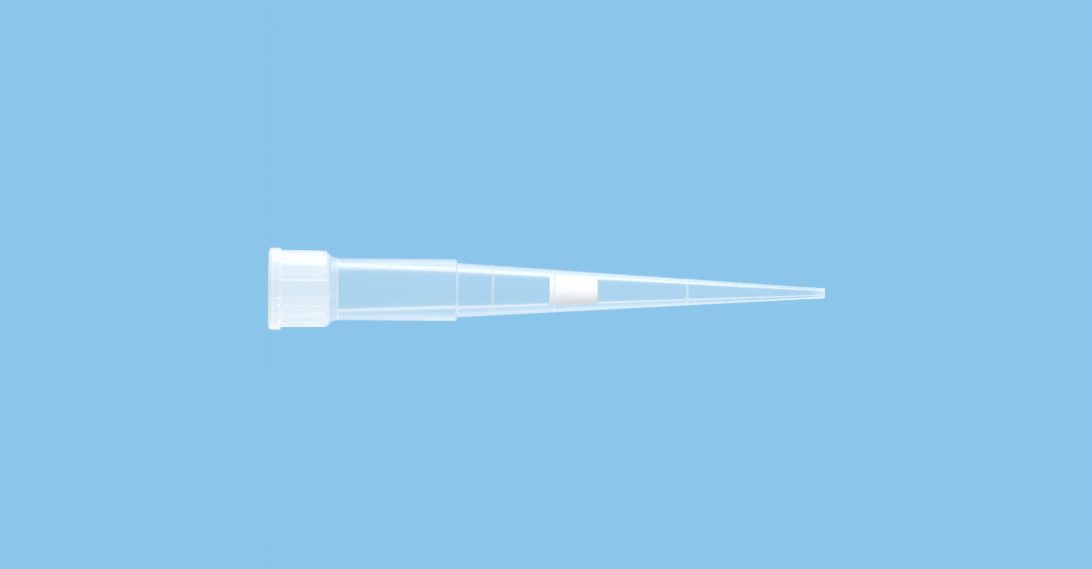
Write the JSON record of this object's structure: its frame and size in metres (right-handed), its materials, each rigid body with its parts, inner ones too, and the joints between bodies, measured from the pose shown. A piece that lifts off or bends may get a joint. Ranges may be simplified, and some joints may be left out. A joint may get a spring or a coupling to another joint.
{
  "type": "pipette tip",
  "caption": "Slender filter pipette tip with a ribbed collar round its socket, a straight barrel, a long tapered cone with raised volume rings and a porous plug in the bore.",
  "frame": {"origin": "centre of the mouth face, which the tip stands on", "axes": "+Z along the tip's axis from the mouth to the orifice, -Y towards the bare moulding pad on the collar"},
  "size_m": [0.0074, 0.0074, 0.051],
  "materials": {
    "moulded_body": "translucent polypropylene, polished on the barrel and cone, frosted on the rim and collar",
    "porous_filter": "white sintered polyethylene, matt and finely grained"
  },
  "bodies": {
    "root": {"tip_body": "moulded_body", "filter_plug": "porous_filter"}
  },
  "joints": []
}
